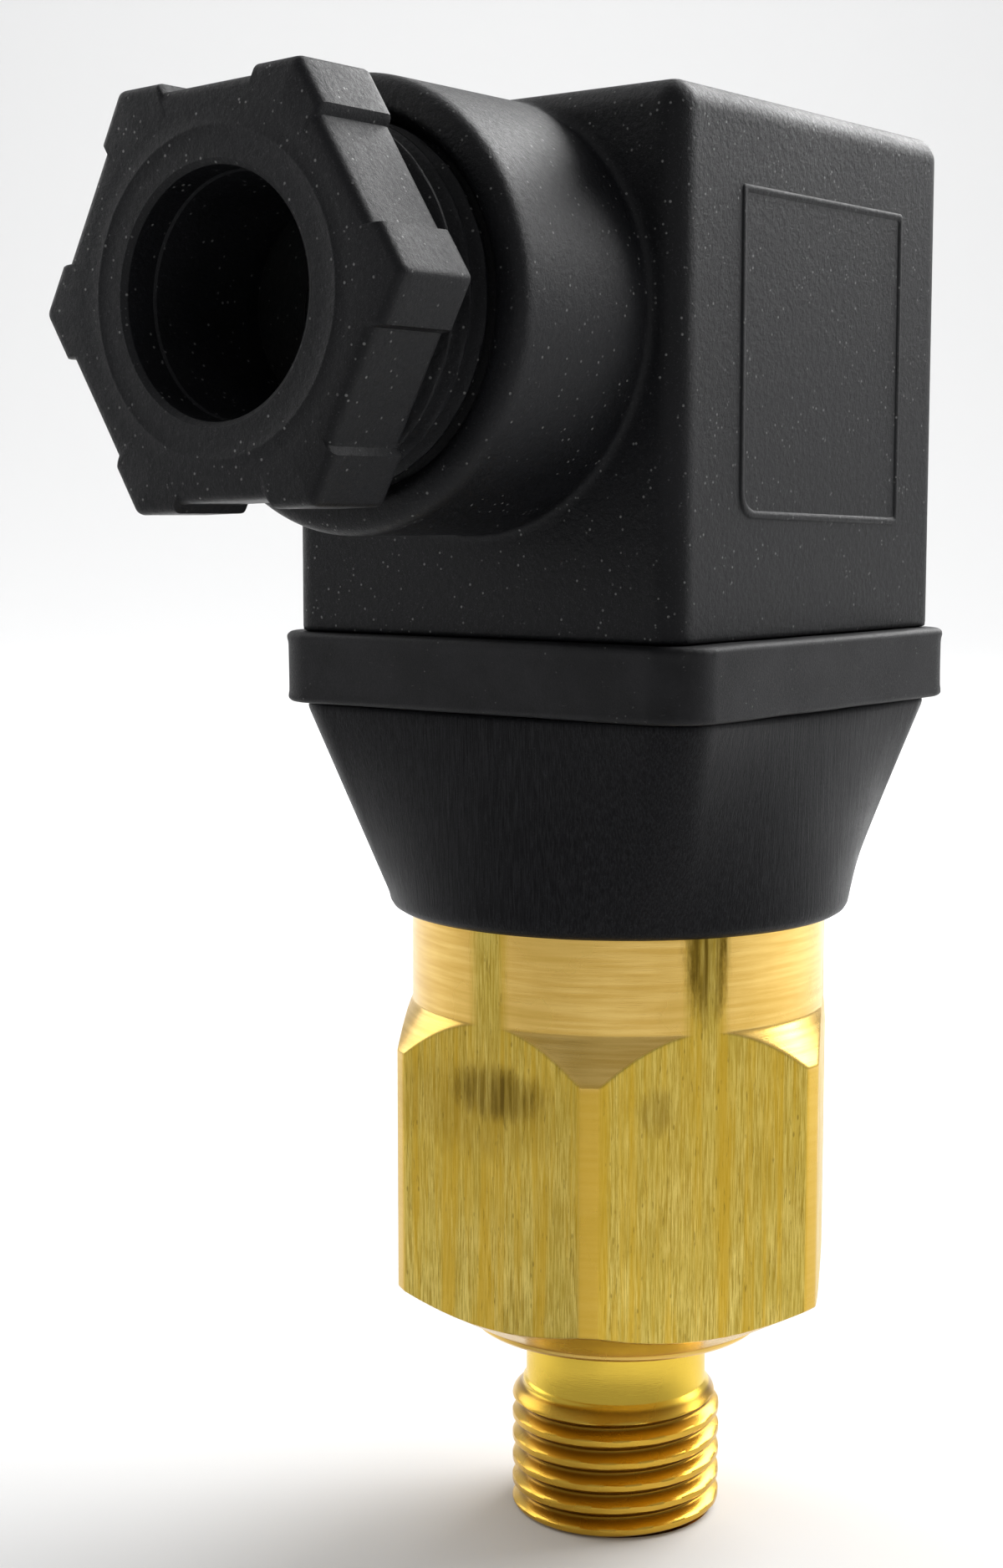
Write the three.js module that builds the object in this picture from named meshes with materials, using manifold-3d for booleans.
// Mechanical pressure switch: a brass hexagon body with a male stud below, a black insulating base,
// and an angled cable plug with a screwed gland on top.
// Millimetres. Origin on the stud's axis, in the plane of the sealing rim under the hexagon.
// +Z runs up the switch, the cable gland points along -Y.

import * as THREE from 'three';
import { mergeVertices } from 'three/addons/utils/BufferGeometryUtils.js';
import Module from 'manifold-3d';

const wasm = await Module();
wasm.setup();

// ---- driving dimensions -------------------------------------------------------------------

const FIT = 0.05; // gap between pieces that touch inside one assembly
const RUN = 0.08; // radial clearance of a sliding or turning fit
const SPARE = 0.3; // gap round a loosely nested piece

// stud and hexagon
const STUD_RADIUS = 6.95; // M14 x 1.5
const STUD_PITCH = 1.5;
const STUD_ROOT = 6.1;
const STUD_RELIEF = 6.0;
const STUD_LENGTH = 13;
const PORT_RADIUS = 2;
const RIM_RADIUS = 9.8;
const HEX_ACROSS_FLATS = 27;
const HEX_TURN = -1.2; // degrees from a corner pointing along the diagonal
const HEX_CORNER_RADIUS = 15.23; // the corners are turned down to this
const HEX_TOP = 19.1;
const NECK_RADIUS = 13.42;
const NECK_START = 21.8;
const NECK_TOP = 29.2;
const SPIGOT_RADIUS = 12.25;
const SPIGOT_TOP = 33;
const CLIP_BOTTOM = 31.65;
const CLIP_TOP = 32.45;
const CLIP_GROOVE = 11.35;
const CAVITY_RADIUS = 10;
const CAVITY_FLOOR = 11;
const CHAMBER_RADIUS = 6;

// connector base
const BASE_BOTTOM = 27.9;
const BASE_TOP = 41.4;
const BASE_ROUND = 15.1;
const BASE_HALF = 15.3;
const BASE_CORNER = 3;
const PLATFORM_TOP = 43.2;
const PIN_CIRCLE = 9; // distance of each contact blade from the axis
const BLADE_WIDTH = 6.3;
const BLADE_THICK = 0.8;
const BLADE_TOP = 54.5;

// profile gasket
const GASKET_HALF = 16.2;
const GASKET_TOP = 46;
const WEB_BOTTOM = 43.3;
const WEB_TOP = 44.8;

// plug housing
const HOUSING_HALF_X = 14.7;
const HOUSING_HALF_Y = 15.3;
const HOUSING_TOP = 77.6;
const HOUSING_WALL = 1.6;
const HOUSING_CORNER = 1.6;
const GLAND_HEIGHT = 64.9;
const COLLAR_RADIUS = 12.7;
const COLLAR_END = 27.1; // measured from the axis along the gland
const COLLAR_BORE = 10.3;
const SEAT_DEPTH = 14.5;

// gland nut
const NUT_ACROSS_FLATS = 22.6;
const NUT_TURN = 2; // degrees
const NUT_BACK = 31.5;
const NUT_FRONT = 37.2;
const NUT_BORE = 6.6;
const NUT_THREAD = 10.2; // PG 13.5
const NUT_THREAD_ROOT = 9.5;
const NUT_THREAD_PITCH = 1.41;
const NUT_THREAD_END = 21.65;

// fixing screw
const SCREW_SHANK = 1.45; // M3
const SCREW_HEAD = 2.75;
const SCREW_HOLE = 1.75;
const SCREW_TIP = 40.2;
const SCREW_SHOULDER = 74.6;

const ROUND = 28; // facets of a large round
const SMALL_ROUND = 16; // facets of a small round

// ---- finishes -----------------------------------------------------------------------------

const brass = () => new THREE.MeshStandardMaterial({ color: '#c9a63c', roughness: 0.35, metalness: 1 });
const steel = () => new THREE.MeshStandardMaterial({ color: '#a9abae', roughness: 0.35, metalness: 1 });
const tinned = () => new THREE.MeshStandardMaterial({ color: '#c8c6c0', roughness: 0.3, metalness: 1 });
const nylon = () => new THREE.MeshStandardMaterial({ color: '#17171a', roughness: 0.5, metalness: 0 });
const rubber = () => new THREE.MeshStandardMaterial({ color: '#1c1c1e', roughness: 0.7, metalness: 0 });
const phenolic = () => new THREE.MeshStandardMaterial({ color: '#3a2a20', roughness: 0.5, metalness: 0 });
const copper = () => new THREE.MeshStandardMaterial({ color: '#b5703c', roughness: 0.3, metalness: 1 });

// ---- solids from geometries ---------------------------------------------------------------

function solid(geometry) {
  const bare = geometry.clone();
  bare.deleteAttribute('normal');
  bare.deleteAttribute('uv');
  const merged = mergeVertices(bare, 1e-4);
  return new wasm.Manifold(new wasm.Mesh({
    numProp: 3,
    vertProperties: new Float32Array(merged.attributes.position.array),
    triVerts: new Uint32Array(merged.index.array),
  }));
}

function geometryOf(body) {
  const mesh = body.getMesh();
  const geometry = new THREE.BufferGeometry();
  geometry.setAttribute('position', new THREE.BufferAttribute(mesh.vertProperties, 3));
  geometry.setIndex(new THREE.BufferAttribute(mesh.triVerts, 1));
  return geometry;
}

function joined(first, ...rest) {
  return rest.reduce((body, next) => body.add(next), first);
}

function cut(first, ...tools) {
  return tools.reduce((body, tool) => body.subtract(tool), first);
}

// A round piece about +Z from points of radius and height.
function turned(points, facets = ROUND) {
  const outline = points.map(([radius, height]) => new THREE.Vector2(radius, height));
  return solid(new THREE.LatheGeometry(outline, facets).rotateX(Math.PI / 2));
}

function disc(radius, bottom, top, facets = ROUND) {
  return turned([[0, bottom], [radius, bottom], [radius, top], [0, top]], facets);
}

function ring(outer, inner, bottom, top, facets = ROUND) {
  return turned([[inner, bottom], [outer, bottom], [outer, top], [inner, top], [inner, bottom]], facets);
}

function block(centre, size) {
  return solid(new THREE.BoxGeometry(...size).translate(...centre));
}

// A block given by its lowest and highest corners.
function span(low, high) {
  const size = high.map((value, i) => value - low[i]);
  const centre = high.map((value, i) => (value + low[i]) / 2);
  return block(centre, size);
}

function prism(shape, bottom, top, curveSegments = 4) {
  const options = { depth: top - bottom, bevelEnabled: false, curveSegments };
  return solid(new THREE.ExtrudeGeometry(shape, options).translate(0, 0, bottom));
}

function roundedRectangle(halfX, halfY, radius) {
  const shape = new THREE.Shape();
  const x = halfX - radius;
  const y = halfY - radius;
  shape.absarc(x, y, radius, 0, Math.PI / 2);
  shape.absarc(-x, y, radius, Math.PI / 2, Math.PI);
  shape.absarc(-x, -y, radius, Math.PI, Math.PI * 1.5);
  shape.absarc(x, -y, radius, Math.PI * 1.5, Math.PI * 2);
  return shape;
}

function hexagon(acrossFlats, degrees) {
  const shape = new THREE.Shape();
  const corner = acrossFlats / 2 / Math.cos(Math.PI / 6);
  for (let i = 0; i < 6; i += 1) {
    const angle = THREE.MathUtils.degToRad(degrees + i * 60);
    const step = i === 0 ? 'moveTo' : 'lineTo';
    shape[step](corner * Math.cos(angle), corner * Math.sin(angle));
  }
  shape.closePath();
  return shape;
}

// The outline of a ring-grooved thread from start to end, crest and root radii given.
function threadOutline(start, end, pitch, crest, root) {
  const points = [];
  const sign = Math.sign(end - start);
  const turns = Math.floor(Math.abs(end - start) / pitch);
  for (let i = 0; i < turns; i += 1) {
    const height = start + sign * pitch * i;
    points.push([root, height]);
    points.push([crest, height + sign * pitch * 0.4]);
    points.push([crest, height + sign * pitch * 0.6]);
  }
  points.push([root, start + sign * pitch * turns]);
  return points;
}

class Helix extends THREE.Curve {
  constructor(radius, bottom, top, turns) {
    super();
    this.radius = radius;
    this.bottom = bottom;
    this.rise = top - bottom;
    this.turns = turns;
  }

  getPoint(t, target = new THREE.Vector3()) {
    const angle = 2 * Math.PI * this.turns * t;
    const height = this.bottom + this.rise * t;
    return target.set(this.radius * Math.cos(angle), this.radius * Math.sin(angle), height);
  }
}

// The four contact places lie a quarter turn apart, the first on +X and the earth on -Y.
function quarterTurned(body, quarter) {
  return body.rotate([0, 0, 90 * quarter]);
}

function atEachContact(body) {
  return [0, 1, 2, 3].map((quarter) => quarterTurned(body, quarter));
}

// ---- brass body ---------------------------------------------------------------------------

// One turned outline, bore and cavity included, with the hexagon's flats cut from it.
function processBody() {
  const coneRise = 0.56; // rise per millimetre of radius under the hexagon
  const edgeHeight = 0.4;
  const cornerStart = edgeHeight + coneRise * (HEX_CORNER_RADIUS - RIM_RADIUS);
  const threadStart = -4.5;
  const threadEnd = -STUD_LENGTH + 0.9;
  const stud = [
    [PORT_RADIUS, -STUD_LENGTH], [STUD_ROOT - 0.6, -STUD_LENGTH], [STUD_ROOT, -STUD_LENGTH + 0.5],
    ...threadOutline(threadStart, threadEnd, STUD_PITCH, STUD_RADIUS, STUD_ROOT).reverse(),
    [STUD_RELIEF, threadStart + 0.2], [STUD_RELIEF, 0],
  ];
  const head = [
    [RIM_RADIUS - 0.2, 0], [RIM_RADIUS, 0.2], [RIM_RADIUS, edgeHeight],
    [HEX_CORNER_RADIUS, cornerStart], [HEX_CORNER_RADIUS, HEX_TOP], [NECK_RADIUS, NECK_START],
  ];
  const neck = [
    [NECK_RADIUS, NECK_TOP], [SPIGOT_RADIUS, NECK_TOP],
    [SPIGOT_RADIUS, CLIP_BOTTOM], [CLIP_GROOVE, CLIP_BOTTOM],
    [CLIP_GROOVE, CLIP_TOP], [SPIGOT_RADIUS, CLIP_TOP], [SPIGOT_RADIUS, SPIGOT_TOP],
  ];
  const inside = [
    [CAVITY_RADIUS, SPIGOT_TOP], [CAVITY_RADIUS, CAVITY_FLOOR], [CHAMBER_RADIUS, CAVITY_FLOOR],
    [CHAMBER_RADIUS, CAVITY_FLOOR - 1.2], [PORT_RADIUS, CAVITY_FLOOR - 1.2],
    [PORT_RADIUS, -STUD_LENGTH],
  ];
  const bar = prism(hexagon(HEX_ACROSS_FLATS, HEX_TURN - 60), -STUD_LENGTH - 1, SPIGOT_TOP + 1);
  return turned([...stud, ...head, ...neck, ...inside]).intersect(bar);
}

// ---- pressure side ------------------------------------------------------------------------

const DIAPHRAGM_TOP = CAVITY_FLOOR + 0.6;
const GUIDE_TOP = 14.6;
const GUIDE_BORE = 5.2;
const PISTON_TOP = 15.4;
const PLATE_TOP = 16.6;
const PLATE_SPIGOT = 4.6;
const SPRING_TOP = 24.9;
const SEAT_TOP = 26.1;
const ADJUSTER_TOP = 30.2;
const ROD_RADIUS = 1.2;
const ROD_TOP = 31.55;

const diaphragm = () => disc(CAVITY_RADIUS - SPARE, CAVITY_FLOOR + FIT, DIAPHRAGM_TOP);

const pistonGuide = () => ring(CAVITY_RADIUS - FIT, GUIDE_BORE, DIAPHRAGM_TOP + FIT, GUIDE_TOP);

function pressurePiston() {
  const radius = GUIDE_BORE - RUN;
  const bottom = DIAPHRAGM_TOP + FIT;
  return turned([
    [0, bottom], [radius - 0.4, bottom], [radius, bottom + 0.4], [radius, PISTON_TOP], [0, PISTON_TOP],
  ]);
}

function springPlate() {
  const bottom = PISTON_TOP + FIT;
  return turned([
    [0, bottom], [8, bottom], [8, PLATE_TOP], [PLATE_SPIGOT, PLATE_TOP],
    [PLATE_SPIGOT, PLATE_TOP + 1.2], [PLATE_SPIGOT - 0.4, PLATE_TOP + 1.6], [0, PLATE_TOP + 1.6],
  ]);
}

const pushRod = () => disc(ROD_RADIUS, PLATE_TOP + 1.6 + FIT, ROD_TOP, SMALL_ROUND);

function rangeSpring() {
  const wire = 0.85;
  const coil = 6.2;
  const turns = 4;
  const path = new Helix(coil, PLATE_TOP + wire + FIT, SPRING_TOP - wire, turns);
  const section = new THREE.Shape().absarc(0, 0, wire, 0, Math.PI * 2);
  return solid(new THREE.ExtrudeGeometry(section, {
    steps: 40, curveSegments: 3, bevelEnabled: false, extrudePath: path,
  }));
}

const springSeat = () => ring(8.2, ROD_RADIUS + 0.5, SPRING_TOP + FIT, SEAT_TOP);

function adjustingScrew() {
  const body = turned([
    [ROD_RADIUS + 0.5, SEAT_TOP + FIT], [CAVITY_RADIUS - RUN - 0.4, SEAT_TOP + FIT],
    [CAVITY_RADIUS - RUN, SEAT_TOP + 0.5], [CAVITY_RADIUS - RUN, ADJUSTER_TOP - 0.4],
    [CAVITY_RADIUS - RUN - 0.4, ADJUSTER_TOP], [ROD_RADIUS + 0.5, ADJUSTER_TOP],
    [ROD_RADIUS + 0.5, SEAT_TOP + FIT],
  ]);
  const slot = block([0, 0, ADJUSTER_TOP], [2 * CAVITY_RADIUS, 1.4, 2.4]);
  return cut(body, slot);
}

// ---- connector base and its contacts ------------------------------------------------------

// Distance from the axis to a rounded square's edge in a given direction.
function squareReach(angle, half, corner) {
  const across = Math.abs(Math.cos(angle));
  const along = Math.abs(Math.sin(angle));
  const straight = half / Math.max(across, along);
  const inner = half - corner;
  if (straight * Math.min(across, along) <= inner) return straight;
  const middle = inner * (across + along);
  return middle + Math.sqrt(middle * middle - 2 * inner * inner + corner * corner);
}

// The base's outside runs in straight lines from a circle below to a rounded square on top.
function baseOutside() {
  const facets = 48;
  const rows = [
    { height: BASE_BOTTOM, inset: 0.9 },
    { height: BASE_BOTTOM + 0.3, inset: 0.25 },
    { height: BASE_BOTTOM + 1, inset: 0 },
    { height: BASE_TOP, inset: 0 },
  ];
  const last = rows.length - 1;
  const geometry = new THREE.CylinderGeometry(1, 1, last, facets, last).rotateX(Math.PI / 2);
  const position = geometry.attributes.position;
  for (let i = 0; i < position.count; i += 1) {
    const row = rows[Math.round(position.getZ(i) + last / 2)];
    const share = Math.max(0, (row.height - rows[2].height) / (BASE_TOP - rows[2].height));
    const angle = Math.atan2(position.getY(i), position.getX(i));
    const square = squareReach(angle, BASE_HALF, BASE_CORNER);
    const reach = BASE_ROUND * (1 - share) + square * share - row.inset;
    position.setXYZ(i, position.getX(i) * reach, position.getY(i) * reach, row.height);
  }
  return solid(geometry);
}

function connectorBase() {
  const shelf = 31.6;
  const roof = 38.6;
  const platform = prism(roundedRectangle(12.4, 12.4, 2), BASE_TOP - 1, PLATFORM_TOP);
  const slot = block(
    [PIN_CIRCLE, 0, roof + 2],
    [BLADE_THICK + 2 * FIT, BLADE_WIDTH + 2 * FIT, 8],
  );
  return cut(
    joined(baseOutside(), platform),
    disc(NECK_RADIUS + 0.2, BASE_BOTTOM - 1, NECK_TOP + 1.3),
    disc(SPIGOT_RADIUS + 0.1, BASE_BOTTOM, shelf + 1),
    disc(13.6, shelf, roof),
    disc(2.45, 39.3, PLATFORM_TOP + 1, SMALL_ROUND),
    ...atEachContact(slot),
  );
}

const screwBush = () => ring(2.4, SCREW_SHANK + RUN, 39.35, PLATFORM_TOP - FIT, SMALL_ROUND);

function neckSeal() {
  const thickness = 0.5;
  const sides = 6;
  const middle = (NECK_RADIUS + SPIGOT_RADIUS) / 2 + 0.1;
  const circle = [];
  for (let i = 0; i <= sides; i += 1) {
    const angle = (2 * Math.PI * (i % sides)) / sides;
    circle.push([middle + thickness * Math.cos(angle), NECK_TOP + 0.6 + thickness * Math.sin(angle)]);
  }
  return turned(circle);
}

function retainingClip() {
  const gap = block([0, 12.5, 32], [5, 4, 3]);
  return cut(ring(13.1, CLIP_GROOVE + 0.15, CLIP_BOTTOM + FIT, CLIP_TOP - FIT), gap);
}

function contactBlade() {
  const shape = new THREE.Shape();
  const half = BLADE_WIDTH / 2;
  shape.moveTo(-half, 35.5);
  shape.lineTo(half, 35.5);
  shape.lineTo(half, BLADE_TOP - 1.6);
  shape.lineTo(half - 1, BLADE_TOP);
  shape.lineTo(-half + 1, BLADE_TOP);
  shape.lineTo(-half, BLADE_TOP - 1.6);
  shape.closePath();
  const options = { depth: BLADE_THICK, bevelEnabled: false };
  const blade = new THREE.ExtrudeGeometry(shape, options);
  blade.rotateX(Math.PI / 2);
  blade.rotateZ(Math.PI / 2);
  blade.translate(PIN_CIRCLE - BLADE_THICK / 2, 0, 0);
  return solid(blade);
}

function profileGasket() {
  const facets = 6;
  const band = prism(roundedRectangle(GASKET_HALF, GASKET_HALF, 3), BASE_TOP + FIT, GASKET_TOP, facets);
  const bladeSlot = block([PIN_CIRCLE, 0, WEB_TOP], [BLADE_THICK + SPARE, BLADE_WIDTH + SPARE, 6]);
  return cut(
    band,
    prism(roundedRectangle(12.7, 12.7, 2), BASE_TOP - 1, WEB_BOTTOM),
    prism(roundedRectangle(13.2, 13.2, 2), WEB_TOP, GASKET_TOP + 1),
    disc(2.2, WEB_BOTTOM - 1, WEB_TOP + 1, SMALL_ROUND),
    ...atEachContact(bladeSlot),
  );
}

// ---- snap switch --------------------------------------------------------------------------

const CASE_BOTTOM = 32.2;
const CASE_TOP = 37.4;
const CASE_HALF_X = 6.4;
const CASE_HALF_Y = 2.9;
const LID_TOP = 33.1;
const CAVITY_HALF_X = 5.7;
const CAVITY_HALF_Y = 2.2;
const ARM_BOTTOM = 37.6;
const ARM_TOP = 38;
const BLADE_REACH = PIN_CIRCLE - BLADE_THICK / 2 - FIT; // where a terminal's arm meets a blade

function switchCase() {
  const shell = span([-CASE_HALF_X, -CASE_HALF_Y, LID_TOP + FIT], [CASE_HALF_X, CASE_HALF_Y, CASE_TOP]);
  return cut(
    shell,
    span([-CAVITY_HALF_X, -CAVITY_HALF_Y, LID_TOP - 1], [CAVITY_HALF_X, CAVITY_HALF_Y, 36.6]),
    span([-5.45, -1.15, 36], [-4.95, 1.15, CASE_TOP + 1]),
    span([4.05, -1.15, 36], [4.55, 1.15, CASE_TOP + 1]),
    span([1.85, 1.7, 36], [3.05, 2.1, CASE_TOP + 1]),
  );
}

function switchLid() {
  const plate = span([-CASE_HALF_X, -CASE_HALF_Y, CASE_BOTTOM], [CASE_HALF_X, CASE_HALF_Y, LID_TOP]);
  return cut(plate, disc(0.9, CASE_BOTTOM - 1, LID_TOP + 1, SMALL_ROUND));
}

function switchPlunger() {
  const bottom = ROD_TOP + FIT;
  return turned([
    [0, bottom], [0.82, bottom], [0.82, LID_TOP + FIT], [1.35, LID_TOP + FIT],
    [1.35, 33.6], [0.7, 33.6], [0.7, 34.2], [0, 34.2],
  ], SMALL_ROUND);
}

const snapBlade = () => span([-5.2, -1.4, 34.3], [5, 1.4, 34.5]);

function commonTerminal() {
  return joined(
    span([-5.35, -1, 34.55], [-5.05, 1, ARM_TOP]),
    span([-BLADE_REACH, -1, ARM_BOTTOM], [-5.05, 1, ARM_TOP]),
  );
}

function openContact() {
  return joined(
    span([4.15, -1, 35.75], [4.45, 1, ARM_TOP]),
    span([3.6, -1, 35.75], [5.1, 1, 36]),
    span([4.15, -1, ARM_BOTTOM], [BLADE_REACH, 1, ARM_TOP]),
  );
}

function closedContact() {
  return joined(
    span([1.95, -1.4, 33.75], [5.1, 2, 34.2]),
    span([1.95, 1.75, 33.75], [2.95, 2, (ARM_BOTTOM + ARM_TOP) / 2]),
    span([1.95, 1.75, ARM_BOTTOM], [2.95, BLADE_REACH, ARM_TOP]),
  );
}

// ---- plug ---------------------------------------------------------------------------------

const PILLAR_END = 60;
const HOUSING_BOTTOM = GASKET_TOP + 0.02;
const CAVITY_TOP = HOUSING_TOP - 2;

// Turns a piece made about +Z so that its top points along the gland, at the gland's height.
function onGland(body) {
  return body.rotate([90, 0, 0]).translate([0, 0, GLAND_HEIGHT]);
}

function housingBlock() {
  const soft = 1.5;
  const shape = roundedRectangle(HOUSING_HALF_X - soft, HOUSING_HALF_Y - soft, HOUSING_CORNER * 0.6);
  const rounded = new THREE.ExtrudeGeometry(shape, {
    depth: HOUSING_TOP - GASKET_TOP, bevelSize: soft, bevelThickness: soft, bevelSegments: 3, curveSegments: 3,
  });
  rounded.translate(0, 0, GASKET_TOP - soft);
  return solid(rounded).subtract(span([-30, -30, 0], [30, 30, HOUSING_BOTTOM]));
}

function plugHousing() {
  const innerX = HOUSING_HALF_X - HOUSING_WALL;
  const innerY = HOUSING_HALF_Y - HOUSING_WALL;
  const rim = 1.2;
  const collar = turned([
    [0, SEAT_DEPTH], [COLLAR_RADIUS, SEAT_DEPTH], [COLLAR_RADIUS, COLLAR_END - rim],
    [COLLAR_RADIUS - 0.35, COLLAR_END - 0.35], [COLLAR_RADIUS - rim, COLLAR_END], [0, COLLAR_END],
  ], 36);
  const chamber = prism(roundedRectangle(innerX, innerY, 0.8), GASKET_TOP - 1, CAVITY_TOP, 2);
  const pillar = joined(
    disc(3.4, PILLAR_END, CAVITY_TOP + 1, SMALL_ROUND),
    disc(5, SCREW_SHOULDER - 2, CAVITY_TOP + 1, SMALL_ROUND),
  );
  const shell = cut(joined(housingBlock(), onGland(collar)), chamber);
  return cut(
    joined(shell, pillar),
    onGland(disc(COLLAR_BORE, SEAT_DEPTH, COLLAR_END + 1)),
    onGland(turned([[0, COLLAR_END - 1], [COLLAR_BORE, COLLAR_END - 1], [11, COLLAR_END + 0.1], [0, COLLAR_END + 0.1]])),
    onGland(disc(7, innerY - 1, SEAT_DEPTH + 1)),
    disc(SCREW_HOLE, PILLAR_END - 1, HOUSING_TOP + 1, SMALL_ROUND),
    disc(3.5, SCREW_SHOULDER, HOUSING_TOP + 1, SMALL_ROUND),
  );
}

const INSERT_TOP = 52;
const SOCKET_BOTTOM = 46.4;
const SOCKET_TOP = 56.5;
const CLAMP_CENTRE = 5.75; // distance of each clamp screw from the axis

function terminalInsert() {
  const plate = prism(roundedRectangle(12.9, 12.9, 1.6), WEB_TOP + FIT, INSERT_TOP);
  const tube = disc(3.3, WEB_TOP + FIT, PILLAR_END - FIT, SMALL_ROUND);
  const pocket = span([3.85, -3.8, SOCKET_BOTTOM - FIT], [10.8, 3.8, INSERT_TOP + 1]);
  const bladeSlot = block(
    [PIN_CIRCLE, 0, WEB_TOP],
    [BLADE_THICK + SPARE, BLADE_WIDTH + SPARE, 6],
  );
  return cut(
    joined(cut(plate, ...atEachContact(pocket)), tube),
    disc(SCREW_HOLE, WEB_TOP - 1, PILLAR_END + 1, SMALL_ROUND),
    ...atEachContact(bladeSlot),
  );
}

// A female contact: a box round the blade with a clamp block beside it.
function bladeSocket() {
  const box = span([7.4, -3.7, SOCKET_BOTTOM], [10.6, 3.7, SOCKET_TOP]);
  const clamp = span([4.1, -2.6, 49.5], [7.5, 2.6, SOCKET_TOP]);
  const slot = span(
    [PIN_CIRCLE - BLADE_THICK / 2 - 0.06, -BLADE_WIDTH / 2 - 0.06, SOCKET_BOTTOM - 1],
    [PIN_CIRCLE + BLADE_THICK / 2 + 0.06, BLADE_WIDTH / 2 + 0.06, BLADE_TOP + 0.5],
  );
  const tapped = disc(1.35, 50.5, SOCKET_TOP + 1, SMALL_ROUND).translate([CLAMP_CENTRE, 0, 0]);
  const wireWay = span([4, -1.2, 51.2], [7.3, 1.2, 53.4]);
  return cut(joined(box, clamp), slot, tapped, wireWay);
}

function terminalScrew() {
  const screw = turned([
    [0, 53.6], [1.25, 53.6], [1.25, SOCKET_TOP + FIT], [2, SOCKET_TOP + FIT],
    [2, SOCKET_TOP + 1.4], [0, SOCKET_TOP + 1.4],
  ], 16);
  const driverSlot = block([0, 0, SOCKET_TOP + 1.4], [5, 0.5, 1.2]);
  return cut(screw, driverSlot).translate([CLAMP_CENTRE, 0, 0]);
}

function screwWasher() {
  return ring(3.2, SCREW_SHANK + 0.12, SCREW_SHOULDER + FIT, SCREW_SHOULDER + 0.55, SMALL_ROUND);
}

function fixingScrew() {
  const headBottom = SCREW_SHOULDER + 0.6;
  const headTop = headBottom + 2.1;
  const body = turned([
    [0, SCREW_TIP], [SCREW_SHANK - 0.4, SCREW_TIP], [SCREW_SHANK, SCREW_TIP + 0.5],
    [SCREW_SHANK, headBottom], [SCREW_HEAD, headBottom], [SCREW_HEAD, headTop - 0.3],
    [SCREW_HEAD - 0.3, headTop], [0, headTop],
  ], SMALL_ROUND);
  return cut(body, block([0, 0, headTop], [8, 0.8, 2.4]));
}

// ---- cable gland --------------------------------------------------------------------------

function cableGrommet() {
  const bottom = SEAT_DEPTH + FIT;
  const top = 19.6;
  return turned([
    [5, bottom], [9.4, bottom], [COLLAR_BORE - 0.25, bottom + 0.6], [COLLAR_BORE - 0.25, top - 1.2],
    [9, top], [5.6, top], [5, top - 0.6], [5, bottom],
  ]);
}

const pressureWasher = () => ring(COLLAR_BORE - 0.15, 5.8, 20.8, 21.6);

// A hexagon whose six flats each carry a shallow recess over their middle half.
function notchedHexagon() {
  const shape = new THREE.Shape();
  const depth = 0.5;
  const reach = NUT_ACROSS_FLATS / 2;
  const halfSide = reach * Math.tan(Math.PI / 6);
  const halfRecess = halfSide * 0.5;
  for (let i = 0; i < 6; i += 1) {
    const angle = THREE.MathUtils.degToRad(NUT_TURN + 30 + 60 * i);
    const flat = [
      [reach, -halfSide], [reach, -halfRecess - depth * 0.6], [reach - depth, -halfRecess],
      [reach - depth, halfRecess], [reach, halfRecess + depth * 0.6],
    ];
    flat.forEach(([out, side], j) => {
      const x = out * Math.cos(angle) - side * Math.sin(angle);
      const y = out * Math.sin(angle) + side * Math.cos(angle);
      const step = i === 0 && j === 0 ? 'moveTo' : 'lineTo';
      shape[step](x, y);
    });
  }
  shape.closePath();
  return shape;
}

function glandNut() {
  const head = prism(notchedHexagon(), NUT_BACK, NUT_FRONT);
  const thread = turned([
    [0, NUT_THREAD_END], [NUT_THREAD_ROOT, NUT_THREAD_END],
    ...threadOutline(NUT_THREAD_END + 0.3, NUT_BACK - 0.2, NUT_THREAD_PITCH, NUT_THREAD, NUT_THREAD_ROOT),
    [NUT_THREAD_ROOT, NUT_BACK + 1], [0, NUT_BACK + 1],
  ]);
  const bore = turned([
    [0, NUT_THREAD_END - 1], [7.6, NUT_THREAD_END - 1], [7.6, 26], [NUT_BORE - 0.7, 27.4],
    [NUT_BORE - 0.7, 28.4], [NUT_BORE, 29], [NUT_BORE, NUT_FRONT - 0.3],
    [NUT_BORE + 0.6, NUT_FRONT + 0.3], [0, NUT_FRONT + 0.3],
  ]);
  return cut(joined(head, thread), bore);
}

// ---- assembly -----------------------------------------------------------------------------

function piece(name, body, material) {
  const mesh = new THREE.Mesh(geometryOf(body), material);
  mesh.name = name;
  return mesh;
}

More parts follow.
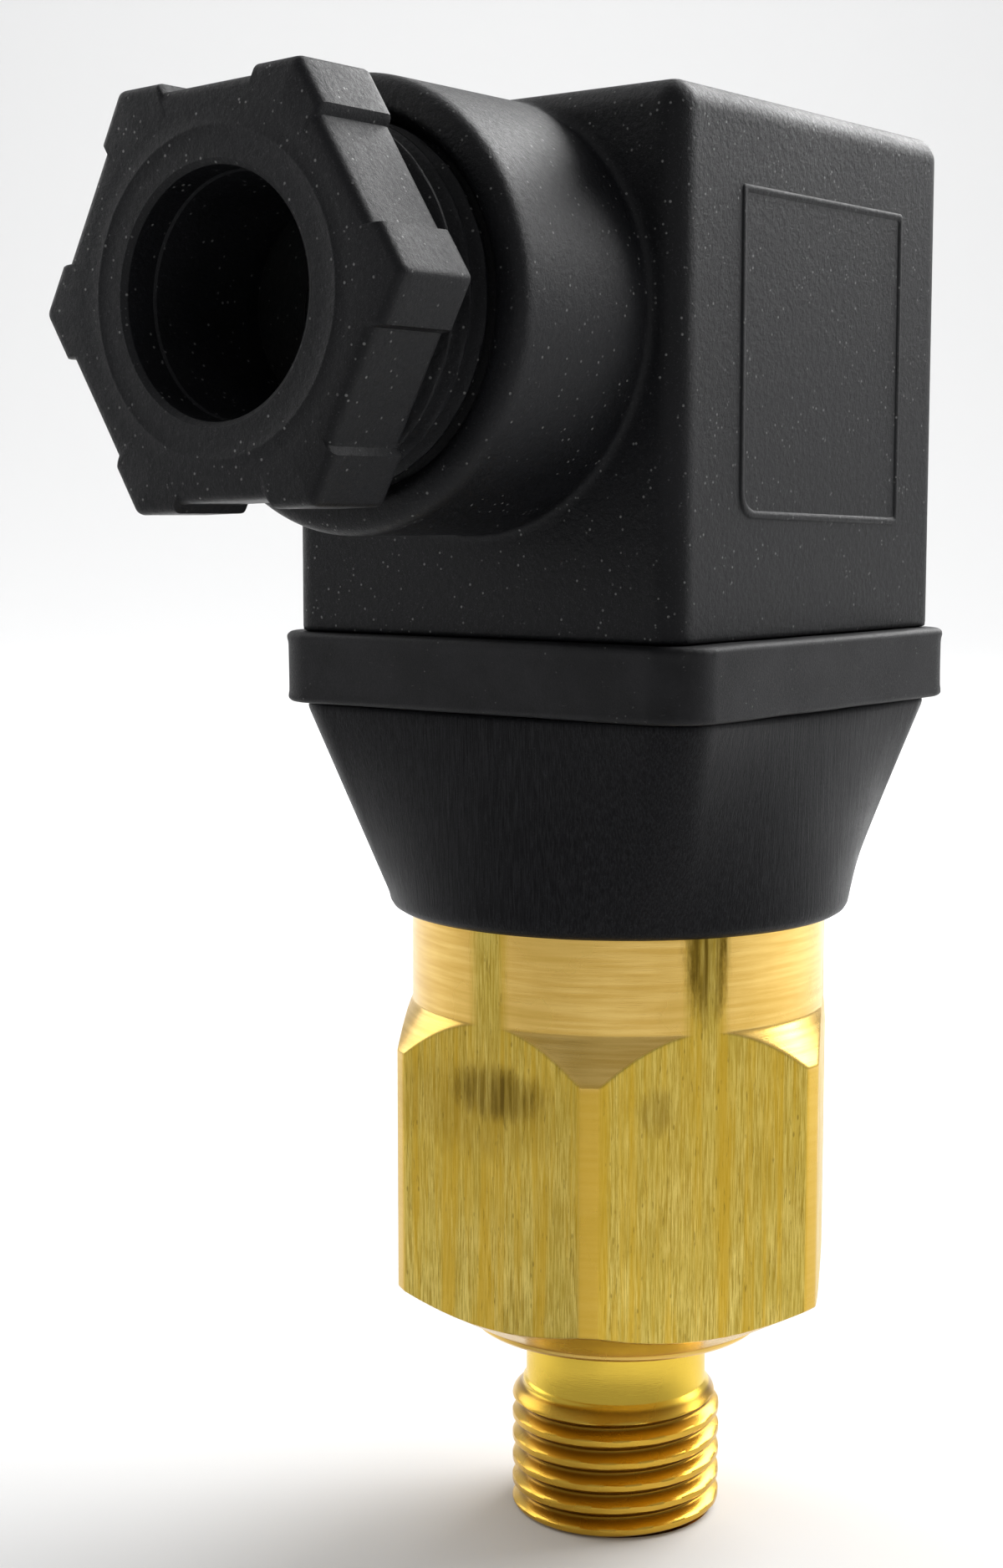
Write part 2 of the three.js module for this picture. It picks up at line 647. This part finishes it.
const pressureSwitch = new THREE.Group();

pressureSwitch.add(
  piece('process_body', processBody(), brass()),
  piece('diaphragm', diaphragm(), rubber()),
  piece('piston_guide', pistonGuide(), steel()),
  piece('pressure_piston', pressurePiston(), steel()),
  piece('spring_plate', springPlate(), steel()),
  piece('push_rod', pushRod(), steel()),
  piece('range_spring', rangeSpring(), steel()),
  piece('spring_seat', springSeat(), steel()),
  piece('adjusting_screw', adjustingScrew(), brass()),
  piece('neck_seal', neckSeal(), rubber()),
  piece('retaining_clip', retainingClip(), steel()),
  piece('connector_base', connectorBase(), nylon()),
  piece('screw_bush', screwBush(), brass()),
  piece('profile_gasket', profileGasket(), rubber()),
);

['1', '3', '2', 'earth'].forEach((name, quarter) => {
  pressureSwitch.add(piece(`contact_blade_${name}`, quarterTurned(contactBlade(), quarter), tinned()));
});

pressureSwitch.add(
  piece('switch_case', switchCase(), phenolic()),
  piece('switch_lid', switchLid(), phenolic()),
  piece('switch_plunger', switchPlunger(), nylon()),
  piece('snap_blade', snapBlade(), copper()),
  piece('common_terminal', commonTerminal(), brass()),
  piece('open_contact', openContact(), brass()),
  piece('closed_contact', closedContact(), brass()),
);

pressureSwitch.add(
  piece('plug_housing', plugHousing(), nylon()),
  piece('terminal_insert', terminalInsert(), nylon()),
  piece('screw_washer', screwWasher(), steel()),
  piece('fixing_screw', fixingScrew(), steel()),
);

['1', '3', '2', 'earth'].forEach((name, quarter) => {
  pressureSwitch.add(
    piece(`socket_${name}`, quarterTurned(bladeSocket(), quarter), tinned()),
    piece(`clamp_screw_${name}`, quarterTurned(terminalScrew(), quarter), steel()),
  );
});

// The gland's pieces are made about +Z and lie along -Y at the gland's height.
const gland = new THREE.Group();
gland.rotation.x = Math.PI / 2;
gland.position.z = GLAND_HEIGHT;
gland.add(
  piece('cable_grommet', cableGrommet(), rubber()),
  piece('pressure_washer', pressureWasher(), steel()),
  piece('gland_nut', glandNut(), nylon()),
);
pressureSwitch.add(gland);

export default pressureSwitch;
